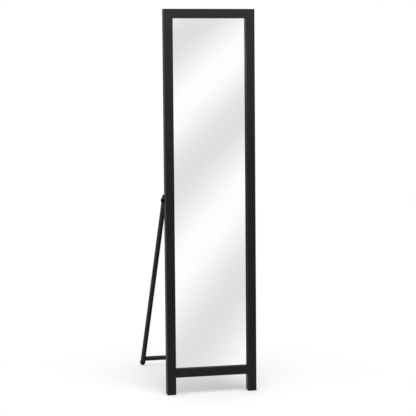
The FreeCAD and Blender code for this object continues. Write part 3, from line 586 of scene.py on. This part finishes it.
def dusty_rubber(fittings):
    """Dull rubber with a little dust where it meets the floor."""
    bench = new_bench("dusty_rubber")
    place = bench.place()
    texture = bench.noise(place, scale=1400.0, detail=2.0, roughness=0.6)
    cloud = bench.noise(place, scale=140.0, detail=4.0, roughness=0.6)
    up = bench.split(place)[UP]
    dust_and_highlight = (1 - up.rise(*DUST_HEIGHTS)) * cloud.rise(0.42, 0.68) * 0.3
    tone = bench.mix(cloud, opaque(fittings.rubber), scaled(fittings.rubber, 1.5))
    return bench.surface(
        Base_Color=bench.mix(dust_and_highlight, tone, opaque(fittings.dust_and_highlight)),
        Roughness=0.66 + cloud * 0.14,
        Specular=0.3,
        Normal=bench.bump(texture, 0.05 * MM, 0.4))


# Modelling helpers

# Shares of the bead's width that a ripple has along the seam and on its two other axes
RIPPLE_SHAPE = (0.62, 0.55, 1.0)


def deselect():
    """Leave nothing selected, so that an operator acts only on what is made next."""
    if bpy.context.object and bpy.context.object.mode != "OBJECT":
        bpy.ops.object.mode_set(mode="OBJECT")
    bpy.ops.object.select_all(action="DESELECT")


def apply_modifier(piece, kind, **settings):
    """Add a modifier to a piece and apply it."""
    modifier = piece.modifiers.new(kind.title(), kind)
    for key, value in settings.items():
        setattr(modifier, key, value)
    bpy.ops.object.modifier_apply(modifier=modifier.name)


# Pieces

class STANDING_MIRROR_OT_paint_bars(bpy.types.Operator):
    """Paint the four wooden bars of the frame"""

    bl_idname = "standing_mirror.paint_bars"
    bl_label = "Paint the bars"

    def execute(self, context):
        bars = context.scene.standing_mirror.bars
        low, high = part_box("stile_right")
        depth = self.depth(bars)
        tall = (high.z - depth * math.sin(bars.lean)) / math.cos(bars.lean)
        middle = ((low.x + high.x) / 2, depth / 2, tall / 2)
        half = ((high.x - low.x) / 2, depth / 2, tall / 2)
        dress(painted_bar("stile_paint", bars, UP, middle, half), *STILES)
        for rail in RAILS:
            rail_middle, rail_half = self.rail_size(rail, bars, depth)
            middle = (0, depth / 2, rail_middle)
            half = (None, depth / 2, rail_half)
            dress(painted_bar(f"{rail}_paint", bars, ACROSS, middle, half), rail)
        return {"FINISHED"}

    def depth(self, bars):
        """Depth of the bars from the front face to the back."""
        low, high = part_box("top_rail")
        run, rise = high.y - low.y, high.z - low.z
        lean_cos, lean_sin = math.cos(bars.lean), math.sin(bars.lean)
        return (run * lean_cos - rise * lean_sin) / (lean_cos ** 2 - lean_sin ** 2)

    def rail_size(self, rail, bars, depth):
        """Middle height and half height of a rail in the frame's axes."""
        low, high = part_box(rail)
        lean_cos, lean_sin = math.cos(bars.lean), math.sin(bars.lean)
        tall = ((high.z - low.z) - depth * lean_sin) / lean_cos
        back = (low.y + high.y) / 2 - frame_front(bars.lean)
        middle = back * lean_sin + (low.z + high.z) / 2 * lean_cos
        return middle, tall / 2


class STANDING_MIRROR_OT_silver_glass(bpy.types.Operator):
    """Silver the mirror glass"""

    bl_idname = "standing_mirror.silver_glass"
    bl_label = "Silver the glass"

    def execute(self, context):
        dress(silvered_glass(context.scene.standing_mirror.glass), "mirror_glass")
        return {"FINISHED"}


class STANDING_MIRROR_OT_finish_panel(bpy.types.Operator):
    """Finish the back panel and the dowels"""

    bl_idname = "standing_mirror.finish_panel"
    bl_label = "Finish panel and dowels"

    def execute(self, context):
        panel = context.scene.standing_mirror.panel
        dress(hardboard(panel), "back_panel")
        dress(beech(panel), "rail_dowels")
        return {"FINISHED"}


class STANDING_MIRROR_OT_coat_stand(bpy.types.Operator):
    """Powder coat the tubes and brackets"""

    bl_idname = "standing_mirror.coat_stand"
    bl_label = "Coat the stand"

    def execute(self, context):
        stand = context.scene.standing_mirror.stand
        dress(powder_coat("powder_coat", stand), *BRACKETS)
        # The legs get painted shade round the pivots
        dress(powder_coat("pivot_shaded_coat", stand, pivot_shaded=True), *LEGS)
        # The crossbar gets a painted highlight on its upper side
        dress(powder_coat("painted_highlight_coat", stand, with_highlight=True), "crossbar")
        return {"FINISHED"}


class STANDING_MIRROR_OT_lay_welds(bpy.types.Operator):
    """Lay rippled weld beads where the crossbar meets the legs"""

    bl_idname = "standing_mirror.lay_welds"
    bl_label = "Lay the weld beads"

    def execute(self, context):
        stand = context.scene.standing_mirror.stand
        deselect()
        seam = self.seam(stand)
        width = stand.bead_width
        for number, (spot, turn) in enumerate(seam):
            bpy.ops.mesh.primitive_uv_sphere_add(
                segments=14, ring_count=8, radius=width / 2, location=spot, rotation=turn,
                scale=RIPPLE_SHAPE)
            if number == 0:
                bead = context.object
                bead.name = "weld_beads"
                bpy.ops.object.mode_set(mode="EDIT")
        bpy.ops.object.mode_set(mode="OBJECT")
        bpy.ops.object.transform_apply(location=True, rotation=True, scale=True)
        apply_modifier(bead, "REMESH", mode="VOXEL", voxel_size=0.3 * MM)
        apply_modifier(bead, "SMOOTH", factor=0.5, iterations=2)
        apply_modifier(bead, "MIRROR", use_axis=(True, False, False))
        bpy.ops.object.shade_smooth()
        bead.data.materials.append(bpy.data.materials["powder_coat"])
        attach(bead, "stand")
        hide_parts("crossbar_welds")
        return {"FINISHED"}

    def seam(self, stand):
        """Places and turns of the ripples round the joint of the left leg and the crossbar."""
        bar_low, bar_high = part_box("crossbar")
        leg_low, leg_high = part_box("leg_left")
        bar_radius = (bar_high.z - bar_low.z) / 2
        leg_radius = (leg_high.x - leg_low.x) / 2
        centre = Vector(((leg_low.x + leg_high.x) / 2, (bar_low.y + bar_high.y) / 2,
                         (bar_low.z + bar_high.z) / 2))
        tilt = Matrix.Rotation(stand.leg_tilt, 3, "X")

        def point(angle):
            aside = bar_radius * math.cos(angle)
            inward = math.sqrt(leg_radius ** 2 - aside ** 2)
            return centre + tilt @ Vector((inward, aside, bar_radius * math.sin(angle)))

        places = []
        step = 2 * math.pi / stand.ripples
        for number in range(stand.ripples):
            angle = number * step
            along = (point(angle + step / 2) - point(angle - step / 2)).normalized()
            places.append((point(angle), along.to_track_quat("X", "Z").to_euler()))
        return places


class STANDING_MIRROR_OT_finish_fittings(bpy.types.Operator):
    """Finish clips, screws, bolts, nuts, plugs, caps and pads"""

    bl_idname = "standing_mirror.finish_fittings"
    bl_label = "Finish the fittings"

    def execute(self, context):
        fittings = context.scene.standing_mirror.fittings
        dress(zinc_plate(fittings), *ZINC_PIECES)
        steel = moulded("black_steel", fittings.black_steel, roughness=0.42, pitch=0.5 * MM,
                        depth=0.01 * MM, specular=0.08)
        dress(steel, "pivot_bolts")
        washer = moulded("washer_plastic", fittings.plastic, roughness=0.55, pitch=0.4 * MM,
                         depth=0.02 * MM, specular=0.08)
        dress(washer, "saddle_washers")
        plug = moulded("plug_plastic", fittings.plug, roughness=0.42, pitch=0.4 * MM, depth=0.02 * MM)
        dress(plug, *PLUGS)
        nylon = moulded("moulded_nylon", fittings.nylon, roughness=0.42, pitch=0.3 * MM,
                        depth=0.02 * MM, specular=0.5, lift=1.1)
        dress(nylon, "nut_rings")
        dress(dusty_rubber(fittings), *RUBBER_PIECES)
        return {"FINISHED"}


# Stage

# Bands that the mirror shows: radians of the wave across, up and up squared, its start and its brightness
BAND_ACROSS = 68.25
BAND_UP = 66.25
BAND_BEND = 77.2
BAND_START = 1.214
BAND_STRENGTH = 1.01

# Zones of the surround in satin gloss, from nothing to full, in parts of a direction one long
BEHIND = (-0.25, 0.35)
BACK_RIGHT = (0.0, 0.5)
LEFT_LAMP = (-0.62, -0.27)
LOW_TOP = (-0.24, -0.05)
LOW_BOTTOM = (-0.65, -0.30)
LOW_SIDE = (-0.1, 0.15)
CEILING_START = (0.0, 0.15)
CEILING_END = (0.12, 0.24)
CREST_START = (0.056, 0.064)
CREST_END = (0.064, 0.071)
GAP_END = (0.16, 0.24)

# How far the back fades to the right and the ceiling higher up, and the ceiling's share in later gloss
BACK_RIGHT_FADE = 0.6
CEILING_FADE = 0.8
CEILING_IN_LATER_GLOSS = 0.7

# How much the mirror dims the gloss it shows and lifts the gloss that shows it
MIRROR_DIMS = 0.9
MIRROR_LIFTS = 1.2
CREST_LIFTS = 4.5
GAP_CUTS = 1.25

# Light path depths that part the first glossy bounce from later ones, and diffuse paths from others
FIRST_GLOSS = 1.5
NO_DIFFUSE = 0.5

# Reach of the studio floor in metres
FLOOR_RADIUS = 60


class STANDING_MIRROR_OT_set_stage(bpy.types.Operator):
    """Set the floor, the surround, the lamps and the camera"""

    bl_idname = "standing_mirror.set_stage"
    bl_label = "Set the stage"

    def execute(self, context):
        stage = context.scene.standing_mirror.stage
        deselect()
        self.lay_floor(context, stage)
        self.hang_surround(context, stage)
        self.hang_lamp("key_lamp", stage.key_watts, stage.key_size, stage.key_place, stage.lamp_aim)
        self.hang_lamp("fill_lamp", stage.fill_watts, stage.fill_size, stage.fill_place, stage.lamp_aim)
        self.set_camera(context, stage)
        context.scene.view_settings.view_transform = "Standard"
        return {"FINISHED"}

    def lay_floor(self, context, stage):
        """Wide pale floor that keeps shadows near the object and fades to white far off."""
        bpy.ops.mesh.primitive_circle_add(vertices=96, radius=FLOOR_RADIUS, fill_type="NGON")
        floor = context.object
        floor.name = "studio_floor"
        floor.visible_glossy = False
        bench = new_bench("studio_floor")
        place = bench.place()
        low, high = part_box("foot_pad_left")
        feet = (0, (low.y + high.y) / 2, 0)
        reach = bench.node("ShaderNodeVectorMath", {"operation": "DISTANCE"}, {0: place, 1: feet},
                           out="Value")
        tooth = bench.noise(place, scale=340.0, detail=2.0)
        seen = bench.node("ShaderNodeLightPath", out="Is Camera Ray")
        tone = bench.mix(tooth * 0.1, opaque(stage.floor), scaled(stage.floor, 0.96))
        lit = bench.node("ShaderNodeBsdfDiffuse", {}, {"Color": tone})
        white = bench.node("ShaderNodeEmission", {}, {"Color": WHITE, "Strength": 1.0})
        lift = bench.node("ShaderNodeEmission", {}, {"Color": WHITE, "Strength": stage.floor_lift})
        lifted = bench.node("ShaderNodeAddShader", {}, {0: lit, 1: lift})
        near = bench.mix_shaders(seen, lit, lifted)
        shader = bench.mix_shaders(reach.rise(stage.floor_near, stage.floor_far) * seen, near, white)
        bench.node("ShaderNodeOutputMaterial", {}, {"Surface": shader})
        floor.data.materials.append(bench.owner)

    def hang_surround(self, context, stage):
        """White to the camera, bands in the mirror, a dim studio in gloss and even light elsewhere.

        Gloss that is seen by way of the mirror is dimmed. Gloss that itself shows the mirror is lifted,
        most of all in a narrow crest, above which there is a dark gap.
        """
        world = bpy.data.worlds.new("studio_surround")
        context.scene.world = world
        bench = Bench(world)
        world.cycles.sampling_method = "NONE"
        across, depth, up = bench.split(bench.node("ShaderNodeTexCoord", out="Generated"))
        wave = (across * BAND_ACROSS - up * BAND_UP - up * up * BAND_BEND + BAND_START).sine()
        bands = bench.mix(0.5 - wave * 0.5, opaque(stage.pale_band), opaque(stage.grey_band))
        camera_ray, mirror_ray, gloss_ray, clear_ray, gloss_depth, diffuse_depth = (
            bench.node("ShaderNodeLightPath", out=name) for name in (
                "Is Camera Ray", "Is Singular Ray", "Is Glossy Ray", "Is Transmission Ray", "Glossy Depth",
                "Diffuse Depth"))
        first = gloss_depth.below(FIRST_GLOSS)
        gloss = gloss_ray.larger(clear_ray) * diffuse_depth.below(NO_DIFFUSE)
        behind = depth.rise(*BEHIND)
        front = 1 - behind
        left = (1 - across.rise(*LEFT_LAMP)) * front
        low = (1 - up.rise(*LOW_TOP)) * up.rise(*LOW_BOTTOM) * across.rise(*LOW_SIDE) * front
        ceiling = (up.rise(*CEILING_START) - up.rise(*CEILING_END) * CEILING_FADE) * front
        ceiling = ceiling * ((1 - CEILING_IN_LATER_GLOSS) * first + CEILING_IN_LATER_GLOSS)
        back = behind * (1 - across.rise(*BACK_RIGHT) * BACK_RIGHT_FADE)
        level = (stage.front_level + back * stage.back_level + left * stage.side_level
                 + low * stage.low_level + ceiling * stage.glow)
        verge = up.rise(*CREST_END)
        crest = up.rise(*CREST_START) - verge
        gap = verge - up.rise(*GAP_END)
        lifted = mirror_ray * (MIRROR_LIFTS + crest * CREST_LIFTS - gap * GAP_CUTS)
        by_mirror = (1 - first) * (lifted - MIRROR_DIMS)
        tint = bench.mix(behind, opaque(stage.studio), WHITE)
        even = self.sky(bench, opaque(stage.even_tint), stage.ambient)
        studio = self.sky(bench, tint, level * (1 + by_mirror))
        reflected = self.sky(bench, bands, BAND_STRENGTH)
        shader = bench.mix_shaders(mirror_ray * first, studio, reflected)
        shader = bench.mix_shaders(gloss, even, shader)
        shader = bench.mix_shaders(camera_ray, shader, self.sky(bench, WHITE, 1.0))
        bench.node("ShaderNodeOutputWorld", {}, {"Surface": shader})

    def sky(self, bench, colour, strength):
        """One light of the surround."""
        return bench.node("ShaderNodeBackground", {}, {"Color": colour, "Strength": strength})

    def hang_lamp(self, name, watts, size, place, aim):
        """Large square lamp that faces a given place and doesn't show in the mirror."""
        run = Vector(aim) - Vector(place)
        turn = run.to_track_quat("-Z", "Y").to_euler()
        bpy.ops.object.light_add(type="AREA", location=place, rotation=turn)
        lamp = bpy.context.object
        lamp.name = name
        lamp.data.energy = watts
        lamp.data.size = size
        lamp.visible_glossy = False

    def set_camera(self, context, stage):
        """Camera at the photograph's place, turned by yaw, pitch and roll."""
        bpy.ops.object.camera_add(location=stage.camera_place)
        camera = context.object
        camera.name = "photo_camera"
        camera.data.sensor_width = stage.sensor
        camera.data.lens = stage.lens
        turn = (Matrix.Rotation(-stage.camera_yaw, 3, "Z")
                @ Matrix.Rotation(math.pi / 2 - stage.camera_pitch, 3, "X")
                @ Matrix.Rotation(stage.camera_roll, 3, "Z"))
        camera.rotation_euler = turn.to_euler()
        context.scene.camera = camera


# Panel and registration

OPERATORS = (
    STANDING_MIRROR_OT_paint_bars,
    STANDING_MIRROR_OT_silver_glass,
    STANDING_MIRROR_OT_finish_panel,
    STANDING_MIRROR_OT_coat_stand,
    STANDING_MIRROR_OT_lay_welds,
    STANDING_MIRROR_OT_finish_fittings,
    STANDING_MIRROR_OT_set_stage,
)


class STANDING_MIRROR_PT_pieces(bpy.types.Panel):
    """Settings and steps of the standing mirror"""

    bl_idname = "STANDING_MIRROR_PT_pieces"
    bl_label = "Standing mirror"
    bl_space_type = "VIEW_3D"
    bl_region_type = "UI"
    bl_category = "Mirror"

    def draw(self, context):
        settings = context.scene.standing_mirror
        for group_name in StandingMirrorSettings.__annotations__:
            group = getattr(settings, group_name)
            box = self.layout.box()
            box.label(text=group_name.title())
            for name in type(group).__annotations__:
                box.prop(group, name)
        for operator in OPERATORS:
            self.layout.operator(operator.bl_idname)


CLASSES = (
    BarSettings,
    GlassSettings,
    PanelSettings,
    StandSettings,
    FittingSettings,
    StageSettings,
    StandingMirrorSettings,
    *OPERATORS,
    STANDING_MIRROR_PT_pieces,
)


def register():
    """Register the classes and the settings."""
    for kind in CLASSES:
        bpy.utils.register_class(kind)
    bpy.types.Scene.standing_mirror = PointerProperty(type=StandingMirrorSettings)


def unregister():
    """Take the settings and the classes away again."""
    del bpy.types.Scene.standing_mirror
    for kind in reversed(CLASSES):
        bpy.utils.unregister_class(kind)


def main():
    """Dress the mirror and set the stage."""
    register()
    for operator in OPERATORS:
        group, name = operator.bl_idname.split(".")
        getattr(getattr(bpy.ops, group), name)()


if __name__ == "__main__":
    main()
